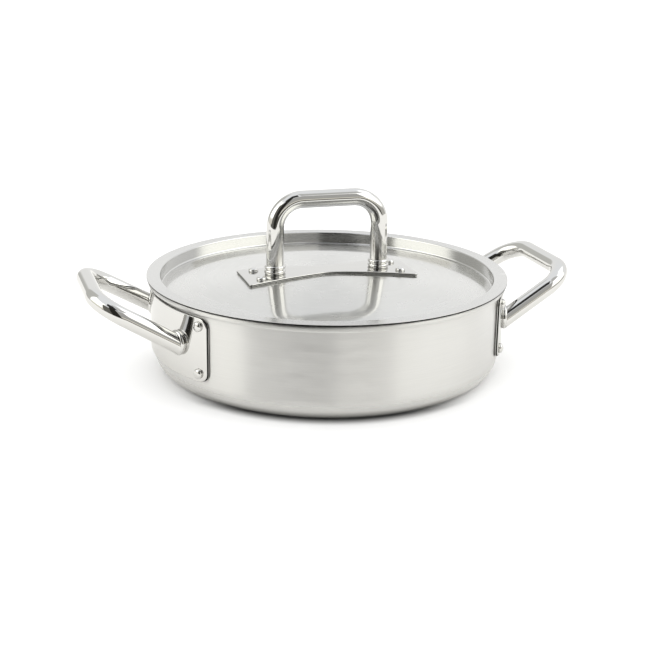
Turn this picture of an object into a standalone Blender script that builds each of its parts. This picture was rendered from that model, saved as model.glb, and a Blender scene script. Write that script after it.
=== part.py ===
"""A 24 cm stainless saute pan with two loop handles and a lid, as separate pieces.

Metres, +Z up. The origin is at the middle of the base. The side handles lie along X,
and the lid's handle runs the same way.
"""

import math

import bmesh
import bpy
from mathutils import Matrix, Vector

# Clearances
GAP = 0.0003
HOLE_CLEARANCE = 0.0003

# Pan body: an outer skin, an aluminium core and an inner liner pressed as one wall
WALL_RADIUS = 0.1196
RIM_HEIGHT = 0.0656
BASE_CORNER_RADIUS = 0.0160
SKIN_THICKNESS = 0.0006
CORE_THICKNESS = 0.0011
LINER_THICKNESS = 0.0006

# Pouring rim, turned outward at the top of the wall
FLARE_RADIUS = 0.0024
LIP_OVERHANG = 0.0011
LIP_TOP_FALL = 0.0020
LIP_BOTTOM_ROUND = 0.0003

# Side handle brackets, one wide curved plate on each side, on the straight part of the wall
BRACKET_THICKNESS = 0.0018
BRACKET_HALF_WIDTH = 0.0690
BRACKET_ABOVE_CORNER = 0.0014
BRACKET_BELOW_FLARE = 0.0005
BRACKET_CORNER_RADIUS = 0.0060
BRACKET_RIVET_INSET_ACROSS = 0.0056
BRACKET_RIVET_INSET_UP = 0.0055

# Round rod that all three handles are bent from
ROD_RADIUS = 0.0060

# Side handles. Each rod end stands square to the wall, this far round the pan from X,
# and a little above the middle of its bracket
SIDE_ROOT_ANGLE = math.radians(22.0)
SIDE_ROOT_RISE = 0.0005
SIDE_REACH = 0.0475
SIDE_PITCH = math.radians(30.0)
SIDE_OUTER_HALF_WIDTH = 0.0415
SIDE_BEND_RADIUS = 0.0215

# Collars between the rods and their plates
COLLAR_EDGE_ROUND = 0.0008
SIDE_COLLAR_RADIUS = 0.0083
SIDE_COLLAR_HEIGHT = 0.0023
LID_COLLAR_RADIUS = 0.0073
LID_COLLAR_HEIGHT = 0.0060

# Rivets
SHANK_RADIUS = 0.0020
HEAD_RADIUS = 0.0033
HEAD_SIDE = 0.0009
HEAD_RISE = 0.0016
TAIL_RADIUS = 0.0030
TAIL_TOP_RADIUS = 0.0015
TAIL_SIDE = 0.0005
TAIL_RISE = 0.0007

# Lid sheet: a flat ring, a recess wall and a domed panel
LID_OVERHANG = 0.0009
LID_THICKNESS = 0.0009
RECESS_CLEARANCE = 0.0013
RECESS_DEPTH = 0.0086
RECESS_EDGE_ROUND = 0.0010
FOLD_RADIUS = 0.0012
DOME_RISE = 0.0090

# Lid handle plate, drawn in at its waist
PLATE_THICKNESS = 0.0015
PLATE_HALF_LENGTH = 0.0598
PLATE_HALF_WIDTH = 0.0198
PLATE_WAIST_HALF_WIDTH = 0.0084
PLATE_CORNER_RADIUS = 0.0020
PLATE_WAIST_RADIUS = 0.0500
PLATE_RIVET_INSET_ALONG = 0.0103
PLATE_RIVET_INSET_ACROSS = 0.0086

# Lid handle. Its legs stand this far inside the ends of their plate
LID_LEG_INSET = 0.0226
LID_BAR_HEIGHT = 0.0525
LID_BEND_RADIUS = 0.0189

# How finely round shapes are divided
TURN_STEPS = 48
BRACKET_STEPS = 96
SMALL_TURN_STEPS = 16
RIVET_STEPS = 12
ROD_BEVEL_RESOLUTION = 5
CORNER_STEPS = 4
FLARE_STEPS = 3
LIP_STEPS = 3
ROUND_STEPS = 2
BEND_STEPS = 6
HEAD_STEPS = 3
DOME_RINGS = 8

# Points nearer than this are one point, and hole cutters run this far past what they cut
MERGE_DISTANCE = 0.00001
CUTTER_OVERRUN = 0.0080

# Sizes that follow from those above
WALL_THICKNESS = SKIN_THICKNESS + GAP + CORE_THICKNESS + GAP + LINER_THICKNESS
CORE_OUTER_DEPTH = SKIN_THICKNESS + GAP
LINER_OUTER_DEPTH = CORE_OUTER_DEPTH + CORE_THICKNESS + GAP
FLARE_BASE = RIM_HEIGHT - FLARE_RADIUS - WALL_THICKNESS
FLARE_CENTRE = WALL_RADIUS + FLARE_RADIUS
LIP_RADIUS = FLARE_CENTRE + LIP_OVERHANG
LID_RADIUS = LIP_RADIUS + LID_OVERHANG
BRACKET_BOTTOM = BASE_CORNER_RADIUS + BRACKET_ABOVE_CORNER
BRACKET_TOP = FLARE_BASE - BRACKET_BELOW_FLARE
BRACKET_INNER_RADIUS = WALL_RADIUS + GAP
BRACKET_OUTER_RADIUS = BRACKET_INNER_RADIUS + BRACKET_THICKNESS
SIDE_ROOT_HEIGHT = (BRACKET_TOP + BRACKET_BOTTOM) / 2 + SIDE_ROOT_RISE
SIDE_COLLAR_MOUTH = BRACKET_OUTER_RADIUS + GAP + SIDE_COLLAR_HEIGHT
LID_LEG_HALF_SPACING = PLATE_HALF_LENGTH - LID_LEG_INSET
SIDE_ROOT_RADIUS = SIDE_COLLAR_MOUTH + GAP
RECESS_RADIUS = WALL_RADIUS - WALL_THICKNESS - RECESS_CLEARANCE - LID_THICKNESS
PANEL_RADIUS = RECESS_RADIUS - FOLD_RADIUS
PANEL_FLOOR = LID_THICKNESS - RECESS_DEPTH
DOME_RADIUS = (PANEL_RADIUS**2 + DOME_RISE**2) / (2 * DOME_RISE)
LID_SEAT = RIM_HEIGHT + GAP
SIDES = {"right": 0.0, "left": math.pi}


# Scene, materials and small helpers


def clear_scene():
    for obj in list(bpy.data.objects):
        bpy.data.objects.remove(obj, do_unlink=True)


def new_collection(name):
    collection = bpy.data.collections.new(name)
    bpy.context.scene.collection.children.link(collection)
    return collection


def new_material(name, colour, roughness):
    material = bpy.data.materials.new(name)
    material.use_nodes = True
    shader = material.node_tree.nodes["Principled BSDF"]
    shader.inputs["Base Color"].default_value = (*colour, 1.0)
    shader.inputs["Roughness"].default_value = roughness
    shader.inputs["Metallic"].default_value = 1.0
    return material


def new_empty(name, location, turn=0.0):
    empty = bpy.data.objects.new(name, None)
    empty.location = location
    empty.rotation_euler = (0.0, 0.0, turn)
    PIECES.objects.link(empty)
    return empty


def add_object(name, data, material, parent=None):
    """Put a finished shape in the model, or among the cutters if it has no material."""
    obj = bpy.data.objects.new(name, data)
    obj.parent = parent
    if material is None:
        CUTTERS.objects.link(obj)
        obj.hide_render = True
        obj.display_type = "WIRE"
        return obj
    PIECES.objects.link(obj)
    data.materials.append(material)
    return obj


def cut(obj, cutter, operation="DIFFERENCE"):
    boolean = obj.modifiers.new(f"{operation.title()} {cutter.name}", "BOOLEAN")
    boolean.operation = operation
    if isinstance(cutter, bpy.types.Collection):
        boolean.operand_type = "COLLECTION"
        boolean.collection = cutter
    else:
        boolean.object = cutter


def arc(centre_radius, centre_height, radius, start, end, steps):
    """Points of an arc in a turned section, from start to end in degrees."""
    angles = [math.radians(start + (end - start) * step / steps) for step in range(steps + 1)]
    return [
        (centre_radius + radius * math.cos(angle), centre_height + radius * math.sin(angle))
        for angle in angles
    ]


def turned(name, section, material, steps=TURN_STEPS, parent=None):
    """Turn a section of (radius, height) points round its own Z axis."""
    mesh = bpy.data.meshes.new(name)
    points = [(radius, 0.0, height) for radius, height in section]
    edges = [(index, index + 1) for index in range(len(points) - 1)]
    mesh.from_pydata(points, edges, [])
    obj = add_object(name, mesh, material, parent)
    screw = obj.modifiers.new("Turn", "SCREW")
    screw.steps = steps
    screw.render_steps = steps
    screw.use_merge_vertices = True
    screw.merge_threshold = MERGE_DISTANCE
    return obj


def rounded_path(corners, radii, steps, closed=False):
    """Points along straight runs, with an arc of its own radius at each corner."""
    points = []
    last = len(corners) - 1
    for index, (corner, radius) in enumerate(zip(corners, radii)):
        if not closed and index in (0, last):
            points.append(corner)
            continue
        back = (corners[index - 1] - corner).normalized()
        ahead = (corners[(index + 1) % len(corners)] - corner).normalized()
        half_angle = back.angle(ahead) / 2
        centre = corner + (back + ahead).normalized() * radius / math.sin(half_angle)
        tangent_length = radius / math.tan(half_angle)
        spoke = corner + back * tangent_length - centre
        axis = spoke.cross(corner + ahead * tangent_length - centre)
        for step in range(steps + 1):
            turn = (math.pi - 2 * half_angle) * step / steps
            points.append(centre + Matrix.Rotation(turn, 3, axis) @ spoke)
    return points


def poly_curve(name, points, closed=False):
    curve = bpy.data.curves.new(name, "CURVE")
    curve.dimensions = "2D" if closed else "3D"
    spline = curve.splines.new("POLY")
    spline.points.add(len(points) - 1)
    for spline_point, point in zip(spline.points, points):
        spline_point.co = (*point, 1.0)
    spline.use_cyclic_u = closed
    return curve


def as_mesh(curve_object, material):
    """Replace a curve object by a welded mesh object, so that it can be cut."""
    depsgraph = bpy.context.evaluated_depsgraph_get()
    mesh = bpy.data.meshes.new_from_object(curve_object.evaluated_get(depsgraph))
    welded = bmesh.new()
    welded.from_mesh(mesh)
    bmesh.ops.remove_doubles(welded, verts=welded.verts, dist=MERGE_DISTANCE)
    welded.to_mesh(mesh)
    welded.free()
    mesh.materials.clear()
    name = curve_object.name
    parent = curve_object.parent
    placement = curve_object.matrix_basis.copy()
    bpy.data.objects.remove(curve_object, do_unlink=True)
    obj = add_object(name, mesh, material, parent)
    obj.matrix_basis = placement
    return obj


def bent_rod(name, corners, bend_radius, material, parent):
    """A round rod along straight runs, bent to one radius at each corner."""
    radii = [bend_radius] * len(corners)
    curve = poly_curve(name, rounded_path(corners, radii, BEND_STEPS))
    curve.bevel_depth = ROD_RADIUS
    curve.bevel_resolution = ROD_BEVEL_RESOLUTION
    curve.use_fill_caps = True
    return add_object(name, curve, material, parent)


def outline_block(name, corners, radii, thickness, parent=None):
    """A cutter: a flat closed outline with rounded corners, extruded both ways from XY."""
    points = rounded_path(corners, radii, CORNER_STEPS, closed=True)
    curve = poly_curve(name, points, closed=True)
    curve.fill_mode = "BOTH"
    curve.extrude = thickness / 2
    return as_mesh(add_object(name, curve, None, parent), None)


def bar_cutter(name, radius, length, collection, parent=None):
    """A round cutter for one hole, along its own Z axis."""
    mesh = bpy.data.meshes.new(name)
    bar = bmesh.new()
    bmesh.ops.create_cone(
        bar, cap_ends=True, segments=RIVET_STEPS, radius1=radius, radius2=radius, depth=length
    )
    bar.to_mesh(mesh)
    bar.free()
    obj = add_object(name, mesh, None, parent)
    collection.objects.link(obj)
    return obj


def point_axis(obj, direction, location):
    """Place an object with its Z axis along a direction."""
    obj.location = location
    obj.rotation_euler = direction.to_track_quat("Z", "Y").to_euler()


def left_or_right(x):
    return "right" if x > 0 else "left"


def front_or_rear(y):
    return "front" if y < 0 else "rear"


# Pan body


def wall_section(depth, top):
    """Section of the surface that lies depth inside the skin, from the axis up to top."""
    centre = WALL_RADIUS - BASE_CORNER_RADIUS
    turn = arc(centre, BASE_CORNER_RADIUS, BASE_CORNER_RADIUS - depth, -90, 0, CORNER_STEPS)
    return [(0.0, depth)] + turn + [(WALL_RADIUS - depth, top)]


def flare_section(depth):
    """Section of the same surface where the rim turns outward, from the wall to its crest."""
    return arc(FLARE_CENTRE, FLARE_BASE, FLARE_RADIUS + depth, 180, 90, FLARE_STEPS)[1:]


def make_outer_skin():
    inside = wall_section(SKIN_THICKNESS, FLARE_BASE) + flare_section(SKIN_THICKNESS)
    outside = wall_section(0.0, FLARE_BASE) + flare_section(0.0)
    return turned("outer_skin", inside + outside[::-1], BRUSHED_STEEL)


def make_core():
    top = FLARE_BASE - GAP
    inside = wall_section(CORE_OUTER_DEPTH + CORE_THICKNESS, top)
    outside = wall_section(CORE_OUTER_DEPTH, top)
    return turned("aluminium_core", inside + outside[::-1], ALUMINIUM)


def make_liner():
    """The liner thickens above the core into the rim, and its rolled lip hides the skin's edge."""
    inside = wall_section(WALL_THICKNESS, FLARE_BASE) + flare_section(WALL_THICKNESS)
    lip_bottom = FLARE_BASE + FLARE_RADIUS
    top_round = [
        (
            FLARE_CENTRE + LIP_OVERHANG * math.sin(angle),
            RIM_HEIGHT - LIP_TOP_FALL * (1 - math.cos(angle)),
        )
        for angle in [math.pi / 2 * step / LIP_STEPS for step in range(1, LIP_STEPS + 1)]
    ]
    bottom_round = arc(
        LIP_RADIUS - LIP_BOTTOM_ROUND, lip_bottom + LIP_BOTTOM_ROUND, LIP_BOTTOM_ROUND,
        0, -90, ROUND_STEPS,
    )
    hook = [
        (FLARE_CENTRE + GAP, lip_bottom),
        (FLARE_CENTRE + GAP, lip_bottom + CORE_OUTER_DEPTH),
    ]
    underside = flare_section(CORE_OUTER_DEPTH)[::-1]
    step = [(WALL_RADIUS - CORE_OUTER_DEPTH, FLARE_BASE)]
    outside = wall_section(LINER_OUTER_DEPTH, FLARE_BASE)[::-1]
    section = inside + top_round + bottom_round + hook + underside + step + outside
    return turned("inner_liner", section, LINER_STEEL)


# Rivets


def rivet_section(grip):
    """Section of a rivet whose head seats at height 0 and whose tail seats at -grip."""
    head = [
        (HEAD_RADIUS * math.sin(angle), HEAD_SIDE + HEAD_RISE * math.cos(angle))
        for angle in [math.pi / 2 * step / HEAD_STEPS for step in range(HEAD_STEPS + 1)]
    ]
    shank = [(HEAD_RADIUS, 0.0), (SHANK_RADIUS, 0.0), (SHANK_RADIUS, -grip)]
    tail = [
        (TAIL_RADIUS, -grip),
        (TAIL_RADIUS, -grip - TAIL_SIDE),
        (TAIL_TOP_RADIUS, -grip - TAIL_SIDE - TAIL_RISE),
        (0.0, -grip - TAIL_SIDE - TAIL_RISE),
    ]
    return head + shank + tail


def make_rivet(name, grip, seat, direction, holes, parent=None):
    """A rivet with its head seated at a point, and the cutter for the hole that it fills."""
    rivet = turned(name, rivet_section(grip), RIVET_STEEL, RIVET_STEPS, parent)
    point_axis(rivet, direction, seat)
    length = grip + 2 * CUTTER_OVERRUN
    hole = bar_cutter(f"{name}_hole", SHANK_RADIUS + HOLE_CLEARANCE, length, holes, parent)
    point_axis(hole, direction, seat - direction * grip / 2)


# Side handles


def bracket_rivet_places():
    """Angle round the pan and height of each rivet of a bracket, by name."""
    spread = math.asin((BRACKET_HALF_WIDTH - BRACKET_RIVET_INSET_ACROSS) / BRACKET_OUTER_RADIUS)
    heights = {
        "lower": BRACKET_BOTTOM + BRACKET_RIVET_INSET_UP,
        "upper": BRACKET_TOP - BRACKET_RIVET_INSET_UP,
    }
    for level, height in heights.items():
        for sign in (-1, 1):
            yield level, sign * spread, height


def make_bracket(side, turn):
    """A sector of a turned plate, cut to a rounded outline seen along X."""
    section = [
        (BRACKET_INNER_RADIUS, 0.0),
        (BRACKET_INNER_RADIUS, RIM_HEIGHT),
        (BRACKET_OUTER_RADIUS, RIM_HEIGHT),
        (BRACKET_OUTER_RADIUS, 0.0),
        (BRACKET_INNER_RADIUS, 0.0),
    ]
    bracket = turned(f"{side}_bracket", section, POLISHED_STEEL, BRACKET_STEPS)
    corners = [
        Vector((-BRACKET_TOP, -BRACKET_HALF_WIDTH, 0.0)),
        Vector((-BRACKET_BOTTOM, -BRACKET_HALF_WIDTH, 0.0)),
        Vector((-BRACKET_BOTTOM, BRACKET_HALF_WIDTH, 0.0)),
        Vector((-BRACKET_TOP, BRACKET_HALF_WIDTH, 0.0)),
    ]
    radii = [BRACKET_CORNER_RADIUS] * len(corners)
    frame = new_empty(f"{side}_bracket_frame", (0.0, 0.0, 0.0), turn)
    outline = outline_block(
        f"{side}_bracket_outline", corners, radii, WALL_RADIUS, frame
    )
    outline.location = (WALL_RADIUS, 0.0, 0.0)
    outline.rotation_euler = (0.0, math.pi / 2, 0.0)
    cut(bracket, outline, "INTERSECT")
    return bracket


def round_the_pan(radius, angle, height):
    """A point at a distance from the pan's axis, and the way that the wall faces there."""
    outward = Vector((math.cos(angle), math.sin(angle), 0.0))
    return outward * radius + Vector((0.0, 0.0, height)), outward


def make_bracket_rivets(side, turn, holes):
    head_seat = BRACKET_OUTER_RADIUS + GAP
    liner_flat = (WALL_RADIUS - WALL_THICKNESS) * math.cos(math.pi / TURN_STEPS)
    grip = head_seat - (liner_flat - GAP)
    for level, angle, height in bracket_rivet_places():
        seat, direction = round_the_pan(head_seat, turn + angle, height)
        place = front_or_rear(direction.y)
        make_rivet(f"{side}_rivet_{place}_{level}", grip, seat, direction, holes)


def make_side_rod(side, turn, trim):
    """The loop rises outward from its collars, and its ends are cut parallel to the wall."""
    root, _ = round_the_pan(SIDE_ROOT_RADIUS, SIDE_ROOT_ANGLE, SIDE_ROOT_HEIGHT)
    outer = root + SIDE_REACH * Vector((1.0, 0.0, math.tan(SIDE_PITCH)))
    outer.y = SIDE_OUTER_HALF_WIDTH
    overlong = 2 * ROD_RADIUS
    half = [root + (root - outer).normalized() * overlong, outer]
    corners = half + [Vector((point.x, -point.y, point.z)) for point in reversed(half)]
    frame = new_empty(f"{side}_handle_frame", (0.0, 0.0, 0.0), turn)
    rod = bent_rod(f"{side}_handle", corners, SIDE_BEND_RADIUS, POLISHED_STEEL, frame)
    rod = as_mesh(rod, POLISHED_STEEL)
    cut(rod, trim)


def collar_section(radius, length):
    """Section of a collar whose outer face is at height 0."""
    edge = arc(
        radius - COLLAR_EDGE_ROUND, -COLLAR_EDGE_ROUND, COLLAR_EDGE_ROUND, 90, 0, ROUND_STEPS
    )
    return [(0.0, 0.0)] + edge + [(radius, -length), (0.0, -length)]


def make_side_collars(side, turn, bracket_seat):
    """Each collar stands square to the wall, and its foot follows the curved bracket."""
    for angle in (turn - SIDE_ROOT_ANGLE, turn + SIDE_ROOT_ANGLE):
        mouth, outward = round_the_pan(SIDE_COLLAR_MOUTH, angle, SIDE_ROOT_HEIGHT)
        overlong = collar_section(SIDE_COLLAR_RADIUS, 2 * SIDE_COLLAR_HEIGHT)
        collar = turned(
            f"{side}_collar_{front_or_rear(outward.y)}", overlong, POLISHED_STEEL,
            SMALL_TURN_STEPS,
        )
        point_axis(collar, outward, mouth)
        cut(collar, bracket_seat)


def make_end_trim():
    """The space inside the four upright planes that the rod ends lie in."""
    mesh = bpy.data.meshes.new("handle_end_trim")
    block = bmesh.new()
    bmesh.ops.create_cone(block, cap_ends=True, segments=4, radius1=1.0, radius2=1.0, depth=1.0)
    block.to_mesh(mesh)
    block.free()
    along = SIDE_ROOT_RADIUS / math.cos(SIDE_ROOT_ANGLE)
    across = SIDE_ROOT_RADIUS / math.sin(SIDE_ROOT_ANGLE)
    mesh.transform(Matrix.Diagonal((along, across, 2 * RIM_HEIGHT, 1.0)))
    return add_object("handle_end_trim", mesh, None)


def make_side_handles():
    """Both side handles, and the holes that their rivets need."""
    holes = bpy.data.collections.new("bracket_rivet_holes")
    CUTTERS.children.link(holes)
    seat_radius = BRACKET_OUTER_RADIUS + GAP
    bracket_seat = turned(
        "bracket_seat",
        [(0.0, RIM_HEIGHT), (seat_radius, RIM_HEIGHT), (seat_radius, 0.0), (0.0, 0.0)],
        None, BRACKET_STEPS,
    )
    trim = make_end_trim()
    brackets = []
    for side, turn in SIDES.items():
        brackets.append(make_bracket(side, turn))
        make_bracket_rivets(side, turn, holes)
        make_side_rod(side, turn, trim)
        make_side_collars(side, turn, bracket_seat)
    for bracket in brackets:
        cut(bracket, holes)
    return holes


# Lid, modelled in its own frame with the underside of its ring at height 0


def dome_section(offset):
    """Section of the panel's dome, lifted by offset, from the axis to the panel's edge."""
    radii = [PANEL_RADIUS * ring / DOME_RINGS for ring in range(DOME_RINGS + 1)]
    return [(radius, dome_height(radius) + offset) for radius in radii]


def dome_height(radius):
    """Height of the panel's upper surface at a distance from the axis."""
    fall = DOME_RADIUS - math.sqrt(DOME_RADIUS**2 - radius**2)
    return PANEL_FLOOR + DOME_RISE - fall


def dome_normal(x, y):
    """The way that the dome faces above a point."""
    height = math.sqrt(DOME_RADIUS**2 - x**2 - y**2)
    return Vector((x, y, height)).normalized()


def make_lid_sheet(frame):
    wall_outside = RECESS_RADIUS + LID_THICKNESS
    fold_centre = (PANEL_RADIUS, PANEL_FLOOR + FOLD_RADIUS)
    upper_fold = arc(*fold_centre, FOLD_RADIUS, -90, 0, ROUND_STEPS)[1:]
    lower_fold = arc(*fold_centre, FOLD_RADIUS + LID_THICKNESS, 0, -90, ROUND_STEPS)[:-1]
    recess_edge = arc(
        RECESS_RADIUS + RECESS_EDGE_ROUND, LID_THICKNESS - RECESS_EDGE_ROUND,
        RECESS_EDGE_ROUND, 180, 90, ROUND_STEPS,
    )
    edge_round = LID_THICKNESS / 2
    outer_edge = arc(LID_RADIUS - edge_round, edge_round, edge_round, 90, -90, 2 * ROUND_STEPS)
    section = dome_section(0.0) + upper_fold + recess_edge + outer_edge
    section += [(wall_outside, 0.0)] + lower_fold + dome_section(-LID_THICKNESS)[::-1]
    return turned("lid_panel", section, BRUSHED_STEEL, parent=frame)


def make_lid_plate(frame):
    """The strap under the handle: a piece of dome cut to an outline with a drawn-in waist."""
    below = dome_section(GAP)
    above = dome_section(GAP + PLATE_THICKNESS)
    plate = turned("lid_handle_plate", above + below[::-1], POLISHED_STEEL, parent=frame)
    half = [
        Vector((-PLATE_HALF_LENGTH, -PLATE_HALF_WIDTH, 0.0)),
        Vector((0.0, -PLATE_WAIST_HALF_WIDTH, 0.0)),
        Vector((PLATE_HALF_LENGTH, -PLATE_HALF_WIDTH, 0.0)),
    ]
    corners = half + [Vector((-point.x, -point.y, 0.0)) for point in half]
    radii = [PLATE_CORNER_RADIUS, PLATE_WAIST_RADIUS, PLATE_CORNER_RADIUS] * 2
    thickness = 2 * (RECESS_DEPTH + DOME_RISE)
    outline = outline_block("lid_plate_outline", corners, radii, thickness, frame)
    cut(plate, outline, "INTERSECT")
    return plate


def make_lid_rivets(frame, holes):
    x = PLATE_HALF_LENGTH - PLATE_RIVET_INSET_ALONG
    y = PLATE_HALF_WIDTH - PLATE_RIVET_INSET_ACROSS
    stack = LID_THICKNESS + GAP + PLATE_THICKNESS
    for along, across in ((-x, -y), (-x, y), (x, -y), (x, y)):
        direction = dome_normal(along, across)
        surface = Vector((along, across, dome_height(math.hypot(along, across))))
        seat = surface + direction * (GAP + PLATE_THICKNESS + GAP)
        name = f"lid_rivet_{left_or_right(along)}_{front_or_rear(across)}"
        make_rivet(name, stack + 2 * GAP, seat, direction, holes, frame)


def make_lid_handle(frame):
    """The rod loop and the two collars that carry it."""
    plate_top = dome_height(LID_LEG_HALF_SPACING) + GAP + PLATE_THICKNESS
    collar_top = plate_top + LID_COLLAR_HEIGHT
    above_plate = dome_section(GAP + PLATE_THICKNESS + GAP)
    bottom = PANEL_FLOOR - RECESS_DEPTH
    plate_seat = turned(
        "lid_plate_seat", above_plate + [(PANEL_RADIUS, bottom), (0.0, bottom)], None,
        parent=frame,
    )
    for side, turn in SIDES.items():
        x = LID_LEG_HALF_SPACING * math.cos(turn)
        overlong = collar_section(LID_COLLAR_RADIUS, 2 * LID_COLLAR_HEIGHT)
        collar = turned(
            f"lid_collar_{side}", overlong, POLISHED_STEEL, SMALL_TURN_STEPS, frame
        )
        collar.location = (x, 0.0, collar_top)
        cut(collar, plate_seat)
    corners = [
        Vector((-LID_LEG_HALF_SPACING, 0.0, collar_top + GAP)),
        Vector((-LID_LEG_HALF_SPACING, 0.0, LID_BAR_HEIGHT)),
        Vector((LID_LEG_HALF_SPACING, 0.0, LID_BAR_HEIGHT)),
        Vector((LID_LEG_HALF_SPACING, 0.0, collar_top + GAP)),
    ]
    bent_rod("lid_handle", corners, LID_BEND_RADIUS, POLISHED_STEEL, frame)


def make_lid():
    frame = new_empty("lid_lift_axis", (0.0, 0.0, LID_SEAT))
    holes = bpy.data.collections.new("lid_rivet_holes")
    CUTTERS.children.link(holes)
    sheet = make_lid_sheet(frame)
    plate = make_lid_plate(frame)
    make_lid_rivets(frame, holes)
    make_lid_handle(frame)
    cut(sheet, holes)
    cut(plate, holes)


clear_scene()
PIECES = new_collection("saute_pan")
CUTTERS = new_collection("cutters")
BRUSHED_STEEL = new_material("brushed steel", (0.62, 0.62, 0.61), 0.32)
LINER_STEEL = new_material("liner steel", (0.60, 0.60, 0.59), 0.26)
POLISHED_STEEL = new_material("polished steel", (0.66, 0.65, 0.63), 0.06)
RIVET_STEEL = new_material("rivet steel", (0.64, 0.64, 0.62), 0.12)
ALUMINIUM = new_material("aluminium", (0.80, 0.80, 0.81), 0.45)

wall_layers = [make_outer_skin(), make_core(), make_liner()]
rivet_holes = make_side_handles()
for layer in wall_layers:
    cut(layer, rivet_holes)
make_lid()
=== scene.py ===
# %% [markdown]
# # A stainless saute pan with its lid
#
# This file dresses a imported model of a 24 cm saute pan: a low pan with straight walls, a loop
# handle riveted to each side, and a lid that is pressed down into a shallow well and carries a
# loop of its own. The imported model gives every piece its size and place. Here each piece gets
# the fine edges, the smooth bends and the steel finishes that a photograph shows.
#
# Each cell does one thing and says why it was done that way, so the file can be read from top
# to bottom as a lesson. Lengths are metres, +Z is up, and the side handles lie along X.

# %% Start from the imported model
import math

import bmesh
import bpy
from mathutils import Matrix, Vector


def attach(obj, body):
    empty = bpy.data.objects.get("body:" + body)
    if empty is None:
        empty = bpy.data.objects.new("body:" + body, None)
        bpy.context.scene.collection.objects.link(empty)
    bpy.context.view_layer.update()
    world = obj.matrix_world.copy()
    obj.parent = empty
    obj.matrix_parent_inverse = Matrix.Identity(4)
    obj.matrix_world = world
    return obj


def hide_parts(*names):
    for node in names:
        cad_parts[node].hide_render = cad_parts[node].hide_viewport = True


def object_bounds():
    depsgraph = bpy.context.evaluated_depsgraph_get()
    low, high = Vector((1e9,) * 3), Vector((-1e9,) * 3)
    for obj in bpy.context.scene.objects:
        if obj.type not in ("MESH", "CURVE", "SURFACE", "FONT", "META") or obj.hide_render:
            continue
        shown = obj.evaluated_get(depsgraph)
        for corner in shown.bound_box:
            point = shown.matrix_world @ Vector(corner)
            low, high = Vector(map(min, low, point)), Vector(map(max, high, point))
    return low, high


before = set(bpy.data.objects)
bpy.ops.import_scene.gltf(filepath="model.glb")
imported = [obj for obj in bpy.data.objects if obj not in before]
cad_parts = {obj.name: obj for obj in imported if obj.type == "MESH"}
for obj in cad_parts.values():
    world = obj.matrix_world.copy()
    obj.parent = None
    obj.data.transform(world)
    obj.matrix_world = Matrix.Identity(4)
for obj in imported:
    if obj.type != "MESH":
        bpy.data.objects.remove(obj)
cad_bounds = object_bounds()

# %% [markdown]
# ## The camera
#
# A photograph of a round pan gives its camera away: the ovals of the rim and the base say how
# high it stood, and the handles say how far round. The lens is a short telephoto about 90 cm
# from the pan. The camera leans less than a degree to one side, as a hand-set tripod does.

# %% Place the camera
PAN_TURN = math.radians(17.187)
CAMERA_DISTANCE = 0.8820
CAMERA_HEIGHT = 0.3072
CAMERA_YAW = math.radians(0.054)
CAMERA_PITCH = math.radians(17.579)
CAMERA_ROLL = math.radians(0.894)
FOCAL_LENGTH = 73.147
FARTHEST_SEEN = 50.0


def turned_to_studio(vector):
    """A direction or place as seen from the camera's side, turned into the pan's own frame."""
    return Matrix.Rotation(-PAN_TURN, 4, "Z") @ Vector(vector)


def new_object(name, data):
    """Put a camera, a mesh or a curve into the scene as an object."""
    made = bpy.data.objects.new(name, data)
    bpy.context.scene.collection.objects.link(made)
    return made


camera_data = bpy.data.cameras.new("camera")
camera_data.lens = FOCAL_LENGTH
camera_data.clip_end = FARTHEST_SEEN
camera = new_object("camera", camera_data)
bpy.context.scene.camera = camera
camera.matrix_world = (
    Matrix.Translation(turned_to_studio((0.0, -CAMERA_DISTANCE, CAMERA_HEIGHT)))
    @ Matrix.Rotation(CAMERA_YAW - PAN_TURN, 4, "Z")
    @ Matrix.Rotation(math.pi / 2 - CAMERA_PITCH, 4, "X")
    @ Matrix.Rotation(CAMERA_ROLL, 4, "Z")
)
bpy.context.scene.view_settings.view_transform = "Standard"
print("camera at", [round(value, 4) for value in camera.matrix_world.translation])

# %% [markdown]
# ## Small helpers for node trees
#
# Every finish below is a node tree. A few short helpers keep the cells readable. They link or
# set a socket, start a material or a node group with named sockets, place a finished group in
# another tree with its own values, and add the few kinds of node that are used most. Colours
# are written with three channels all through the file.

# %% Helpers for sockets
def feed(tree, socket, value):
    """Link a socket to another one, or set it to a plain value."""
    if isinstance(value, bpy.types.NodeSocket):
        tree.links.new(value, socket)
    elif socket.type == "RGBA":
        socket.default_value = (*value, 1.0)
    else:
        socket.default_value = value


def feed_all(tree, sockets, **values):
    """Feed several sockets by name. Underscores in the names stand for spaces."""
    for label, value in values.items():
        feed(tree, sockets[label.replace("_", " ")], value)


print("socket helpers: feed, feed_all")

# %% Helpers for groups and materials
def new_group(name, inputs, outputs):
    """A shader node group with inputs, each with its default, and with plain outputs."""
    group = bpy.data.node_groups.new(name, "ShaderNodeTree")
    for label, default in inputs.items():
        kind = "NodeSocketVector" if isinstance(default, tuple) else "NodeSocketFloat"
        socket = group.interface.new_socket(label, in_out="INPUT", socket_type=kind)
        socket.default_value = default
    for label in outputs:
        group.interface.new_socket(label, in_out="OUTPUT", socket_type="NodeSocketFloat")
    given = group.nodes.new("NodeGroupInput").outputs
    return group, given, group.nodes.new("NodeGroupOutput").inputs


def use_group(tree, group, **values):
    """Place a group in a tree, and feed its inputs by name."""
    node = tree.nodes.new("ShaderNodeGroup")
    node.node_tree = group
    feed_all(tree, node.inputs, **values)
    return node.outputs


def new_tree(name):
    """A material with an empty node tree, and the socket that takes its shader."""
    material = bpy.data.materials.new(name)
    material.use_nodes = True
    material.node_tree.nodes.clear()
    output = material.node_tree.nodes.new("ShaderNodeOutputMaterial")
    return material, material.node_tree, output.inputs["Surface"]


print("tree helpers: new_group, use_group, new_tree")

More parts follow.
